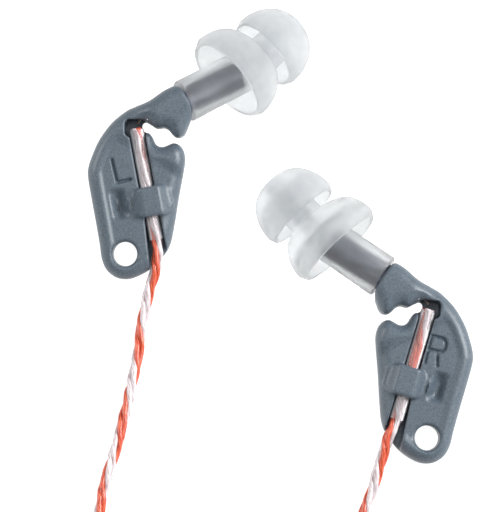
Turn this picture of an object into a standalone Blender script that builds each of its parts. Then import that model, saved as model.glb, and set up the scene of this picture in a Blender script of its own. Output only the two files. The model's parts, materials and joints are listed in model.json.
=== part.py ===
"""In-ear monitors: two moulded earpieces with double-flange silicone tips on a twisted cable.

Lengths below are in millimetres and become metres when a mesh is made. Each earpiece is drawn
once, in its own frame: X across the paddle, Y from the lanyard hole up to the neck, Z out of the
lettered face. The right earpiece is the left one mirrored.
"""

import math

import bmesh
import bpy
from mathutils import Matrix, Vector

MM = 0.001

# Moulded body
PADDLE_THICK = 3.9
NECK_THICK = 4.8
HOLE_RADIUS = 1.57
NECK_AXIS_HEIGHT = NECK_THICK / 2
PIVOT = (0.6, 17.8)
STEM_BASE = (7.35, 19.5)
STEM_ANGLE = math.radians(27)

# Clear sleeve, the channel that holds it and the bridge over it
SLEEVE_TOP = (1.44, 15.92)
SLEEVE_BOTTOM = (4.05, 1.88)
SLEEVE_RADIUS = 0.96
SLEEVE_BORE = 0.76
SLEEVE_HEIGHT = 2.55
CHANNEL_CLEARANCE = 0.12
OUTLET_FLARE = 0.6
BRIDGE_START = 7.4
BRIDGE_END = 11.35
BRIDGE_HALF_WIDTH = 2.2
BRIDGE_TOP = 4.75

# Stem and ear tip, measured along the stem from the neck's end face
STEM_RADIUS = 1.8
STEM_BORE = 1.1
STEM_SOCKET_DEPTH = 0.6
STEM_LENGTH = 8.4
TIP_BORE = 1.9
TIP_WALL = 0.88
TIP_START = 0.3
TIP_END = 19.3
TIP_CORE = 2.45
OUTLET_RADIUS = 1.1
REAR_RIM = 6.8
REAR_RADIUS = 6.3
FRONT_RIM = 13.2
FRONT_RADIUS = 5.25
FLANGE_WALL = 0.6
BEND_START = 8.0
BEND_END = 9.4
BEND_ANGLE = math.radians(14)
REAR_SHIFT = 0.6

# Balanced-armature driver
DRIVER_LENGTH = 3.65
DRIVER_HEIGHT = 1.7
DRIVER_WIDTH = 2.6
DRIVER_WALL = 0.14
DRIVER_REAR = -5.05
DRIVER_OFFSET = 0.75
FINE_GAP = 0.08

# Cables
CABLE_RADIUS = 0.7
MAIN_RADIUS = 0.9
TIE_THICK = 0.3
TIE_HALF_WIDTH = 1.4
COIL_FLOOR = TIE_THICK + 0.05
COIL_TURNS = 3
COIL_MEAN_RADIUS = 6.6
MAIN_TURNS = 6
MAIN_MEAN_RADIUS = 10.5

# Splitter, slider and plug
PAIR_HEIGHT = 1.7
PAIR_SPACING = 2.0
SPLITTER_TOP = -77.5
SPLITTER_BOTTOM = -89.5
SLIDER_LENGTH = 7.0
SLIDER_TOP = -69.0
PAIR_X = 13.0
PLUG_X = 0.0
PLUG_HEIGHT = 3.3
BOOT_END = -106.0

# Where the left lanyard hole stands, seen from above, so that the earpieces are centred
LEFT_HOLE = (-19.71, -1.91)

SIDES = {
    "left": {"mirror": 1, "place": (0.0, 0.0), "turn": 0.0, "tilt": 15.3, "droop": 21.0},
    "right": {"mirror": -1, "place": (38.26, -24.13), "turn": -6.3, "tilt": 10.5, "droop": 8.0},
}
LOWEST_EDGE = 3.24

MATERIALS = {
    "body": ((0.13, 0.17, 0.21), 0.55, 0.0),
    "silicone": ((0.80, 0.83, 0.85), 0.35, 0.0),
    "stem": ((0.20, 0.22, 0.24), 0.45, 0.0),
    "clear": ((0.85, 0.85, 0.86), 0.10, 0.0),
    "steel": ((0.60, 0.60, 0.62), 0.30, 1.0),
    "copper": ((0.72, 0.35, 0.18), 0.35, 1.0),
    "film": ((0.70, 0.62, 0.40), 0.40, 0.0),
    "board": ((0.05, 0.25, 0.12), 0.50, 0.0),
    "cable": ((0.80, 0.22, 0.10), 0.35, 0.0),
    "black": ((0.03, 0.03, 0.035), 0.45, 0.0),
    "gold": ((0.95, 0.70, 0.30), 0.25, 1.0),
}


def clear_scene():
    for item in list(bpy.data.objects):
        bpy.data.objects.remove(item, do_unlink=True)


def material(name):
    """The Principled material of that name, made the first time it is asked for."""
    found = bpy.data.materials.get(name)
    if found:
        return found
    colour, roughness, metallic = MATERIALS[name]
    made = bpy.data.materials.new(name)
    made.use_nodes = True
    shader = made.node_tree.nodes["Principled BSDF"]
    shader.inputs["Base Color"].default_value = (*colour, 1.0)
    shader.inputs["Roughness"].default_value = roughness
    shader.inputs["Metallic"].default_value = metallic
    return made


# ---------------------------------------------------------------- mesh builders, in millimetres

def prism(outline, low, high):
    """A straight-sided solid over an outline, from height low to height high."""
    shape = bmesh.new()
    bottom = [shape.verts.new((x, y, low)) for x, y in outline]
    top = [shape.verts.new((x, y, high)) for x, y in outline]
    shape.faces.new(bottom)
    shape.faces.new(top)
    for i in range(len(outline)):
        j = (i + 1) % len(outline)
        shape.faces.new((bottom[i], bottom[j], top[j], top[i]))
    return shape


def block(x, y, z):
    """A box from its lowest and highest value along each axis."""
    return prism([(x[0], y[0]), (x[1], y[0]), (x[1], y[1]), (x[0], y[1])], z[0], z[1])


def frame_bar(y, z, wall, x):
    """A rectangular tube along X: a closed frame of that wall, hollow along its length."""
    shape = bmesh.new()
    rings = []
    for grow in (0.0, -wall):
        for end in (x[0], x[1]):
            corners = [(y[0] - grow, z[0] - grow), (y[1] + grow, z[0] - grow),
                       (y[1] + grow, z[1] + grow), (y[0] - grow, z[1] + grow)]
            rings.append([shape.verts.new((end, a, b)) for a, b in corners])
    outer_rear, outer_front, inner_rear, inner_front = rings
    for i in range(4):
        j = (i + 1) % 4
        shape.faces.new((outer_rear[i], outer_rear[j], outer_front[j], outer_front[i]))
        shape.faces.new((inner_rear[i], inner_rear[j], inner_front[j], inner_front[i]))
        shape.faces.new((outer_rear[i], outer_rear[j], inner_rear[j], inner_rear[i]))
        shape.faces.new((outer_front[i], outer_front[j], inner_front[j], inner_front[i]))
    return shape


def turned(profile, steps, hollow=True):
    """A solid turned about X from (along, radius) points: a closed loop, or capped at its ends."""
    shape = bmesh.new()
    rings = []
    for along, radius in profile:
        angles = [2 * math.pi * k / steps for k in range(steps)]
        rings.append([shape.verts.new((along, radius * math.cos(t), radius * math.sin(t)))
                      for t in angles])
    if hollow:
        pairs = zip(rings, rings[1:] + rings[:1])
    else:
        pairs = zip(rings, rings[1:])
        shape.faces.new(rings[0])
        shape.faces.new(rings[-1])
    for one, two in pairs:
        for k in range(steps):
            m = (k + 1) % steps
            shape.faces.new((one[k], one[m], two[m], two[k]))
    return shape


def pipe(start, end, outer, inner, steps=20):
    return turned([(start, outer), (end, outer), (end, inner), (start, inner)], steps)


def rod(start, end, radius, steps=20):
    return turned([(start, radius), (end, radius)], steps, hollow=False)


def upright_rod(radius, low, high, steps=24):
    """A rod standing on Z through the origin."""
    angles = [2 * math.pi * k / steps for k in range(steps)]
    return prism([(radius * math.cos(t), radius * math.sin(t)) for t in angles], low, high)


def arc(centre, along, across, start, end, steps):
    """Points on an ellipse, by angle in degrees: along is the half-axis in X, across in Y."""
    turns = [math.radians(start + (end - start) * k / steps) for k in range(steps + 1)]
    return [(centre[0] + along * math.cos(t), centre[1] + across * math.sin(t)) for t in turns]


def smooth_route(points, step):
    """Points about step apart on one smooth curve through the route's own points."""
    ends = [points[0]] + list(points) + [points[-1]]
    dense = []
    for a, b, c, d in zip(ends, ends[1:], ends[2:], ends[3:]):
        a, b, c, d = Vector(a), Vector(b), Vector(c), Vector(d)
        pieces = max(4, round((c - b).length / 0.25))
        for k in range(pieces):
            t = k / pieces
            dense.append(0.5 * (2 * b + (c - a) * t + (2 * a - 5 * b + 4 * c - d) * t * t
                                + (3 * b - 3 * c + d - a) * t ** 3))
    dense.append(Vector(points[-1]))
    length = [0.0]
    for a, b in zip(dense, dense[1:]):
        length.append(length[-1] + (b - a).length)
    count = max(2, round(length[-1] / step))
    wanted = [length[-1] * k / count for k in range(count + 1)]
    route = []
    at = 0
    for want in wanted:
        while at < len(length) - 2 and length[at + 1] < want:
            at += 1
        share = (want - length[at]) / max(length[at + 1] - length[at], 1e-9)
        route.append(dense[at].lerp(dense[at + 1], share))
    return route


# ---------------------------------------------------------------- objects and placement

def make_object(name, shape, finish, parent):
    """Turn a millimetre bmesh into a named object under a parent."""
    bmesh.ops.recalc_face_normals(shape, faces=shape.faces)
    bmesh.ops.triangulate(shape, faces=shape.faces)
    bmesh.ops.scale(shape, vec=(MM, MM, MM), verts=shape.verts)
    mesh = bpy.data.meshes.new(name)
    shape.to_mesh(mesh)
    shape.free()
    mesh.shade_smooth()
    mesh.set_sharp_from_angle(angle=math.radians(35))
    made = bpy.data.objects.new(name, mesh)
    made.data.materials.append(material(finish))
    made.parent = parent
    bpy.context.collection.objects.link(made)
    return made


def add_empty(name, place, turn, parent, order="XYZ"):
    made = bpy.data.objects.new(name, None)
    made.location = Vector(place) * MM
    made.rotation_mode = order
    made.rotation_euler = turn
    made.parent = parent
    bpy.context.collection.objects.link(made)
    return made


def ear_frames(side):
    """The empties of one earpiece: its own frame, the neck's pivot, the driver and the stem."""
    facts = SIDES[side]
    mirror = facts["mirror"]
    x = LEFT_HOLE[0] + facts["place"][0]
    y = LEFT_HOLE[1] + facts["place"][1]
    tilt = math.radians(facts["tilt"])
    z = LOWEST_EDGE * math.sin(tilt)
    ear = add_empty(side + "_ear", (x, y, z), (tilt, 0, math.radians(facts["turn"])), None, "ZYX")
    pivot = add_empty(side + "_pivot", (mirror * PIVOT[0], PIVOT[1], 0), (0, 0, 0), ear)
    base = (mirror * (STEM_BASE[0] - PIVOT[0]), STEM_BASE[1] - PIVOT[1], NECK_AXIS_HEIGHT)
    heading = STEM_ANGLE if mirror > 0 else math.pi - STEM_ANGLE
    driver = add_empty(side + "_driver_frame", base, (0, 0, heading), pivot)
    stem = add_empty(side + "_stem_frame", base, (0, math.radians(facts["droop"]), heading), pivot)
    return {"ear": ear, "pivot": pivot, "driver": driver, "stem": stem}


def add_part(side, frames, frame, name, shape, finish):
    """Add one earpiece part, mirrored across X in the body's frames and across Y along the stem."""
    if SIDES[side]["mirror"] < 0:
        flip = (-1, 1, 1) if frame in ("ear", "pivot") else (1, -1, 1)
        bmesh.ops.scale(shape, vec=flip, verts=shape.verts)
    return make_object(side + "_" + name, shape, finish, frames[frame])


def combine(target, tool, operation):
    """Cut the tool out of the target, or join it on, and leave the tool as a hidden guide."""
    step = target.modifiers.new(tool.name, "BOOLEAN")
    step.operation = operation
    step.solver = "EXACT"
    step.object = tool
    tool.hide_render = True
    tool.display_type = "WIRE"


# ---------------------------------------------------------------- moulded body

def paddle_outline():
    """The paddle, anticlockwise from the foot of the split, with the lower side of the slot."""
    outer = [(0.2, 18.3), (-1.4, 17.0), (-2.5, 15.7), (-3.4, 14.3), (-4.1, 12.7), (-4.6, 11.2),
             (-4.65, 9.8), (-4.1, 6.6), (-3.6, 3.9), (-3.15, 1.2)]
    foot = arc((0, 0), 3.0, LOWEST_EDGE, 185, 300, 7)
    inner = [(3.3, -1.9), (5.0, -0.1), (5.8, 1.35), (6.3, 3.7), (6.9, 7.4), (7.5, 10.6)]
    lobe = arc((6.35, 12.75), 1.35, 1.5, -10, 100, 5)
    slot = [(5.2, 13.8), (4.5, 13.8), (3.9, 14.15), (3.5, 15.0), (2.9, 15.6), (2.3, 15.85)]
    split = [(2.1, 16.75), (0.95, 17.05)]
    return outer + foot + inner + lobe + slot + split


def neck_outline():
    """The neck, from the split round the outer edge, past the stem's end face and the slot lobe."""
    outer = [(0.45, 18.45), (1.4, 18.9), (3.1, 19.6), (5.0, 21.0), (6.65, 21.8), (7.9, 22.6)]
    beyond = [(9.6, 19.0), (8.75, 17.9)]
    lobe = arc((7.0, 16.35), 1.45, 1.4, -12, -140, 5)
    slot = [(5.6, 15.9), (5.0, 16.2), (4.3, 16.15), (3.4, 16.5), (2.6, 16.95), (2.15, 17.05)]
    split = [(1.15, 17.35)]
    return outer + beyond + lobe + slot + split


def along_sleeve(distance, aside=0.0):
    """A point in the ear frame that far down the sleeve from its top, and that far across it."""
    down = Vector((SLEEVE_BOTTOM[0] - SLEEVE_TOP[0], SLEEVE_BOTTOM[1] - SLEEVE_TOP[1])).normalized()
    across = Vector((-down.y, down.x))
    return Vector(SLEEVE_TOP) + down * distance + across * aside


def sleeve_length():
    return (Vector(SLEEVE_BOTTOM) - Vector(SLEEVE_TOP)).length


def sleeve_strip(start, end, half_width, flare=0.0):
    """A rectangle in the ear frame along the sleeve's axis, wider by the flare at its far left."""
    corners = ((start, -half_width), (start, half_width), (end, half_width),
               (end, -half_width - flare))
    return [tuple(along_sleeve(distance, aside)) for distance, aside in corners]


def laid_along_sleeve(shape):
    """Move a shape drawn along X from the origin onto the sleeve's axis."""
    down = along_sleeve(1.0) - along_sleeve(0.0)
    turn = Matrix.Rotation(math.atan2(down.y, down.x), 4, "Z")
    shift = Matrix.Translation((SLEEVE_TOP[0], SLEEVE_TOP[1], SLEEVE_HEIGHT))
    bmesh.ops.transform(shape, matrix=shift @ turn, verts=shape.verts)
    return shape


def add_paddle(side, frames):
    body = add_part(side, frames, "ear", "paddle",
                    prism(paddle_outline(), 0, PADDLE_THICK), "body")
    bridge = add_part(side, frames, "ear", "bridge_block",
                      prism(sleeve_strip(BRIDGE_START, BRIDGE_END, BRIDGE_HALF_WIDTH),
                            PADDLE_THICK - 1, BRIDGE_TOP), "body")
    combine(body, bridge, "UNION")
    channel = SLEEVE_RADIUS + CHANNEL_CLEARANCE
    past_edge = sleeve_length() + 5.0
    floor = SLEEVE_HEIGHT - channel
    cutters = {
        "hole_cutter": upright_rod(HOLE_RADIUS, -1, PADDLE_THICK + 1),
        "bridge_cutter": laid_along_sleeve(rod(BRIDGE_START - 0.5, BRIDGE_END + 0.5,
                                               channel - 0.02, 16)),
        "channel_cutter": prism(sleeve_strip(-0.9, BRIDGE_START + 0.15, channel), floor, BRIDGE_TOP + 1),
        "outlet_cutter": prism(sleeve_strip(BRIDGE_END - 0.15, past_edge, channel, OUTLET_FLARE),
                                floor, BRIDGE_TOP + 1),
        "cavity_cutter": prism([(-0.1, 15.6), (1.0, 15.3), (3.0, 15.9), (3.0, 18.0), (-0.1, 16.9)],
                               1.2, PADDLE_THICK + 1),
        "pocket_cutter": prism([(-2.1, 8.3), (-0.1, 8.4), (0.65, 4.6), (-1.3, 4.5)],
                               2.9, PADDLE_THICK + 1),
    }
    for name, shape in cutters.items():
        combine(body, add_part(side, frames, "ear", name, shape, "body"), "DIFFERENCE")


def add_neck(side, frames):
    outline = [(x - PIVOT[0], y - PIVOT[1]) for x, y in neck_outline()]
    neck = add_part(side, frames, "pivot", "neck", prism(outline, 0, NECK_THICK), "body")
    half_height = DRIVER_HEIGHT / 2 + 0.12
    half_width = DRIVER_WIDTH / 2 + 0.12
    passage = [(1.35, 16.8), (2.1, 16.8), (2.1, 17.2), (3.1, 17.3), (3.1, 17.95), (1.35, 17.95)]
    passage = [(x - PIVOT[0], y - PIVOT[1]) for x, y in passage]
    cutters = [
        ("end_cutter", "stem", block((0, 6), (-6, 6), (-6, 6))),
        ("socket_cutter", "stem", rod(-STEM_SOCKET_DEPTH - 0.15, 1, STEM_RADIUS + 0.12, 24)),
        ("driver_cutter", "driver", block((DRIVER_REAR - 0.45, -STEM_SOCKET_DEPTH + 0.1),
                                          (DRIVER_OFFSET - half_height, DRIVER_OFFSET + half_height),
                                          (-half_width, half_width))),
        ("lead_cutter", "pivot", prism(passage, NECK_AXIS_HEIGHT - 0.8, NECK_AXIS_HEIGHT + 0.8)),
    ]
    for name, frame, shape in cutters:
        combine(neck, add_part(side, frames, frame, name, shape, "body"), "DIFFERENCE")


# ---------------------------------------------------------------- stem, tip and driver

def bent(along, aside, turn):
    """A point drawn along X, moved to where a bend of that turn so far carries it."""
    radius = (BEND_END - BEND_START) / BEND_ANGLE
    ahead = along - BEND_START - radius * turn
    centre_x = BEND_START + radius * math.sin(turn) + ahead * math.cos(turn)
    centre_y = radius * (1 - math.cos(turn)) + ahead * math.sin(turn)
    return centre_x - aside * math.sin(turn), centre_y + aside * math.cos(turn)


def bend_tip(shape):
    """Turn a tip in its own plane: its core bends between two stations, its flanges turn whole."""
    core = TIP_BORE + TIP_WALL
    for vert in shape.verts:
        along, aside, up = vert.co
        share = min(max((along - BEND_START) / (BEND_END - BEND_START), 0.0), 1.0)
        one = bent(along, aside, share * BEND_ANGLE)
        two = bent(along, aside, BEND_ANGLE)
        out = min(max(math.hypot(aside, up) - core, 0.0), 1.0)
        rear = min(max((FRONT_RIM - 0.7 - along) / 1.5, 0.0), 1.0)
        vert.co.x = one[0] + (two[0] - one[0]) * out
        vert.co.y = one[1] + (two[1] - one[1] + REAR_SHIFT * rear) * out
    return shape


def tip_profile():
    """Sleeve, rear flange, core and domed front flange of the ear tip, with its sound bore."""
    sleeve = TIP_BORE + TIP_WALL
    seat = STEM_LENGTH + 0.25
    bore = [(TIP_START, TIP_BORE), (seat, TIP_BORE), (seat, OUTLET_RADIUS),
            (TIP_END, OUTLET_RADIUS)]
    front_crest = FRONT_RIM + 0.9
    front = arc((front_crest, 1.35), TIP_END - front_crest, FRONT_RADIUS - 1.35, 6, 90, 5)
    front_hollow = arc((front_crest, TIP_CORE), 3.1, FRONT_RADIUS - FLANGE_WALL - TIP_CORE, 90, 0, 4)
    rear_crest = REAR_RIM + 0.9
    rear = arc((rear_crest, 2.8), 4.5, REAR_RADIUS - 2.8, 0, 90, 5)
    rear_hollow = arc((rear_crest, sleeve), 2.3, REAR_RADIUS - FLANGE_WALL - sleeve, 90, 0, 4)
    front_rim = [(FRONT_RIM, FRONT_RADIUS - 0.2), (FRONT_RIM, FRONT_RADIUS - 0.2 - FLANGE_WALL)]
    rear_rim = [(REAR_RIM, REAR_RADIUS - 0.35), (REAR_RIM, REAR_RADIUS - 0.35 - FLANGE_WALL)]
    waist = [(rear_crest + 4.95, TIP_CORE)]
    return bore + front + front_rim + front_hollow + waist + rear + rear_rim + rear_hollow + [
        (TIP_START, sleeve)]


def add_stem_parts(side, frames):
    add_part(side, frames, "stem", "stem",
             pipe(-STEM_SOCKET_DEPTH, STEM_LENGTH, STEM_RADIUS, STEM_BORE, 24), "stem")
    add_part(side, frames, "stem", "acoustic_damper", pipe(5.4, 7.4, STEM_BORE - 0.1, 0.4, 16), "steel")
    add_part(side, frames, "stem", "ear_tip", bend_tip(turned(tip_profile(), 24)), "silicone")


def add_driver(side, frames):
    """The balanced-armature driver, drawn along the neck with its diaphragm side away from the slot."""
    front = DRIVER_REAR + DRIVER_LENGTH
    low = DRIVER_OFFSET - DRIVER_HEIGHT / 2
    high = DRIVER_OFFSET + DRIVER_HEIGHT / 2
    half = DRIVER_WIDTH / 2
    lid = high - DRIVER_WALL
    inside = (DRIVER_REAR + DRIVER_WALL + FINE_GAP, front - DRIVER_WALL - FINE_GAP)
    reed = low + 0.72
    parts = {
        "driver_case": (case_cup((DRIVER_REAR, front), (low, lid - FINE_GAP), (-half, half)), "steel"),
        "driver_cover": (block((DRIVER_REAR, front), (lid, high), (-half, half)), "steel"),
        "driver_coil": (frame_bar((reed - 0.42, reed + 0.42), (-0.85, 0.85), 0.26,
                                  (inside[0] + 0.25, inside[0] + 1.35)), "copper"),
        "driver_yoke": (frame_bar((reed - 0.48, reed + 0.48), (-0.95, 0.95), 0.15,
                                  (inside[0] + 1.5, inside[0] + 2.9)), "steel"),
        "driver_magnet_lower": (block((inside[0] + 1.55, inside[0] + 2.85),
                                      (reed - 0.29, reed - 0.11), (-0.7, 0.7)), "steel"),
        "driver_magnet_upper": (block((inside[0] + 1.55, inside[0] + 2.85),
                                      (reed + 0.11, reed + 0.29), (-0.7, 0.7)), "steel"),
        "driver_armature": (block((inside[0], inside[1]), (reed - 0.05, reed + 0.05),
                                  (-0.5, 0.5)), "steel"),
        "driver_pin": (block((inside[1] - 0.12, inside[1] - 0.04), (reed + 0.1, lid - 0.36),
                             (-0.05, 0.05)), "steel"),
        "driver_diaphragm": (block(inside, (lid - 0.3, lid - 0.22), (-half + 0.25, half - 0.25)),
                             "film"),
        "driver_terminals": (block((DRIVER_REAR - 0.3, DRIVER_REAR - FINE_GAP),
                                   (low + 0.3, high - 0.3), (-0.9, 0.9)), "board"),
    }
    for name, (shape, finish) in parts.items():
        add_part(side, frames, "driver", name, shape, finish)
    spout = pipe(front + FINE_GAP, front + 0.6, 0.4, 0.25, 16)
    bmesh.ops.translate(spout, vec=(0, 0.35, 0), verts=spout.verts)
    add_part(side, frames, "driver", "driver_spout", spout, "steel")


def case_cup(x, y, z):
    """A thin rectangular cup, open towards +Y."""
    shape = bmesh.new()
    inner_x = (x[0] + DRIVER_WALL, x[1] - DRIVER_WALL)
    inner_z = (z[0] + DRIVER_WALL, z[1] - DRIVER_WALL)
    levels = [(x, z, y[0]), (x, z, y[1]), (inner_x, inner_z, y[1]), (inner_x, inner_z, y[0] + DRIVER_WALL)]
    rings = []
    for across, up, level in levels:
        corners = [(across[0], up[0]), (across[1], up[0]), (across[1], up[1]), (across[0], up[1])]
        rings.append([shape.verts.new((a, level, b)) for a, b in corners])
    for one, two in zip(rings, rings[1:]):
        for i in range(4):
            j = (i + 1) % 4
            shape.faces.new((one[i], one[j], two[j], two[i]))
    shape.faces.new(rings[0])
    shape.faces.new(rings[-1])
    return shape


def add_sleeve(side, frames):
    clear = laid_along_sleeve(pipe(0, sleeve_length(), SLEEVE_RADIUS, SLEEVE_BORE, 20))
    add_part(side, frames, "ear", "cable_sleeve", clear, "clear")


def add_leads(side, frames):
    """Two fine leads from the terminals through the neck's passage, ending by the cable's end."""
    for number, height in ((1, -0.4), (2, 0.4)):
        points = [(2.1, 17.5), (1.93, 17.36), (1.8, 17.12), (1.68, 16.9), (1.62, 16.7)]
        mirror = SIDES[side]["mirror"]
        route = [(mirror * (x - PIVOT[0]), y - PIVOT[1], NECK_AXIS_HEIGHT + height) for x, y in points]
        add_cord(side + "_lead_" + str(number), smooth_route(route, 0.4), 0.16, "copper",
                 frames["pivot"])


# ---------------------------------------------------------------- cords

def add_cord(name, route, radius, finish, parent=None):
    """A round cord as a curve of straight pieces between the route's points, in millimetres."""
    data = bpy.data.curves.new(name, "CURVE")
    data.dimensions = "3D"
    data.bevel_depth = radius * MM
    data.bevel_resolution = 2
    data.use_fill_caps = True
    spline = data.splines.new("POLY")
    spline.points.add(len(route) - 1)
    for point, place in zip(spline.points, route):
        point.co = (place[0] * MM, place[1] * MM, place[2] * MM, 1.0)
    data.materials.append(material(finish))
    made = bpy.data.objects.new(name, data)
    made.parent = parent
    bpy.context.collection.objects.link(made)
    return made


def world_point(x, y, z):
    """A point given from the left lanyard hole and the floor, in world millimetres."""
    return Vector((LEFT_HOLE[0] + x, LEFT_HOLE[1] + y, z))


def ear_point(side, place, height):
    """A point of an earpiece's own frame, in world millimetres."""
    facts = SIDES[side]
    tilt = Matrix.Rotation(math.radians(facts["tilt"]), 3, "X")
    turn = Matrix.Rotation(math.radians(facts["turn"]), 3, "Z")
    hole = world_point(*facts["place"], LOWEST_EDGE * math.sin(math.radians(facts["tilt"])))
    return hole + tilt @ turn @ Vector((facts["mirror"] * place[0], place[1], height))


# The free routes, from the left lanyard hole and the floor
LEFT_FALL = [(4.0, -2.1, 3.0), (3.0, -5.6, 1.9), (2.2, -9.15, 1.1), (1.75, -12.75, 0.75),
             (0.6, -18.75, 0.7), (-0.8, -24.8, 0.7), (-2.25, -29.9, 0.7), (-2.95, -33.7, 0.72),
             (-3.25, -37.0, 0.85), (-3.25, -40.2, 1.0)]
LEFT_JOIN = [(-3.25, -50.8, 2.0), (-2.4, -54.4, 1.1), (1.0, -57.4, 0.8), (6.0, -58.6, 0.9),
             (10.0, -60.0, 1.3), (11.8, -62.6, 1.7), (12.0, -65.5, 1.7), (12.0, -72.0, 1.7),
             (12.0, -82.0, 1.7)]
RIGHT_FALL = [(33.4, -24.6, 3.1), (32.45, -27.6, 2.3), (31.2, -31.5, 1.2), (30.25, -34.1, 0.85),
              (30.2, -36.4, 0.85), (31.3, -39.0, 0.95)]
RIGHT_JOIN = [(32.0, -50.8, 1.9), (30.4, -54.8, 1.1), (26.0, -57.4, 0.8), (20.5, -58.4, 0.9),
              (16.2, -59.8, 1.3), (14.2, -62.5, 1.7), (14.0, -65.5, 1.7), (14.0, -72.0, 1.7),
              (14.0, -82.0, 1.7)]
MAIN_FALL = [(13.0, -86.5, 1.7), (13.0, -90.5, 1.6), (13.0, -94.6, 1.25)]
MAIN_JOIN = [(13.0, -110.0, 2.0), (12.3, -113.4, 1.2), (9.5, -116.2, 0.95), (5.5, -116.9, 0.95),
             (1.8, -115.0, 1.5), (0.2, -111.3, 2.7), (0.0, -108.2, 3.2), (0.0, -103.0, 3.3)]
COIL_CENTRES = {"left": (4.75, -45.2), "right": (24.0, -45.2), "main": (28.0, -102.3)}


def add_coil(name, centre, mean_radius, turns, radius):
    """The outer shape of a two-layer coil, standing just clear of its tie's lower strap."""
    half = turns * radius
    low, high = COIL_FLOOR, COIL_FLOOR + 4 * radius
    profile = [(low, mean_radius - half), (low, mean_radius + half),
               (high, mean_radius + half), (high, mean_radius - half)]
    ring = turned(profile, 40)
    upright = Matrix.Rotation(math.radians(-90), 4, "Y")
    place = world_point(*centre, 0)
    bmesh.ops.transform(ring, matrix=Matrix.Translation(place) @ upright, verts=ring.verts)
    make_object(name + "_coil", ring, "cable", None)


def add_tie(name, centre, mean_radius, turns, radius, heading):
    """A soft strap wrapped round a coil, as one closed loop across its turns."""
    half = turns * radius + 0.05
    high = COIL_FLOOR + 4 * radius + 0.05
    inner = math.sqrt((mean_radius - half) ** 2 - TIE_HALF_WIDTH ** 2) - 0.05
    strap = frame_bar((inner - TIE_THICK, mean_radius + half + TIE_THICK),
                      (0, high + TIE_THICK), TIE_THICK, (-TIE_HALF_WIDTH, TIE_HALF_WIDTH))
    turn = Matrix.Rotation(math.radians(heading), 4, "Z")
    place = world_point(*centre, 0)
    bmesh.ops.transform(strap, matrix=Matrix.Translation(place) @ turn, verts=strap.verts)
    make_object(name + "_coil_tie", strap, "black", None)


def add_cables():
    step = 5 * CABLE_RADIUS
    for side, fall, join in (("left", LEFT_FALL, LEFT_JOIN), ("right", RIGHT_FALL, RIGHT_JOIN)):
        top = ear_point(side, along_sleeve(-0.2), SLEEVE_HEIGHT)
        middle = ear_point(side, along_sleeve(sleeve_length() / 2), SLEEVE_HEIGHT)
        bottom = ear_point(side, along_sleeve(sleeve_length() + 0.3), SLEEVE_HEIGHT)
        upper = [top, middle, bottom] + [world_point(*place) for place in fall]
        add_cord(side + "_cable", smooth_route(upper, step), CABLE_RADIUS, "cable")
        lower = [world_point(*place) for place in join]
        add_cord(side + "_cable_lower", smooth_route(lower, step), CABLE_RADIUS, "cable")
        add_coil(side, COIL_CENTRES[side], COIL_MEAN_RADIUS, COIL_TURNS, CABLE_RADIUS)
        add_tie(side, COIL_CENTRES[side], COIL_MEAN_RADIUS, COIL_TURNS, CABLE_RADIUS, 180)
    step = 5 * MAIN_RADIUS
    for name, route in (("main_cable", MAIN_FALL), ("main_cable_lower", MAIN_JOIN)):
        places = [world_point(*place) for place in route]
        add_cord(name, smooth_route(places, step), MAIN_RADIUS, "cable")
    add_coil("main", COIL_CENTRES["main"], MAIN_MEAN_RADIUS, MAIN_TURNS, MAIN_RADIUS)
    add_tie("main", COIL_CENTRES["main"], MAIN_MEAN_RADIUS, MAIN_TURNS, MAIN_RADIUS, 0)


# ---------------------------------------------------------------- splitter, slider and plug

def rounded_section(half_width, half_height, steps=16):
    """A superellipse across Y and Z, a flat oval with well rounded sides."""
    points = []
    for k in range(steps):
        angle = 2 * math.pi * k / steps
        c, s = math.cos(angle), math.sin(angle)
        points.append((half_width * math.copysign(abs(c) ** 0.7, c),
                       half_height * math.copysign(abs(s) ** 0.7, s)))
    return points


def oval_bar(stations):
    """A solid along X through (along, half width, half height) stations, capped at both ends."""
    shape = bmesh.new()
    rings = [[shape.verts.new((along, a, b)) for a, b in rounded_section(wide, high)]
             for along, wide, high in stations]
    for one, two in zip(rings, rings[1:]):
        for i in range(len(one)):
            j = (i + 1) % len(one)
            shape.faces.new((one[i], one[j], two[j], two[i]))
    shape.faces.new(rings[0])
    shape.faces.new(rings[-1])
    return shape


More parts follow.
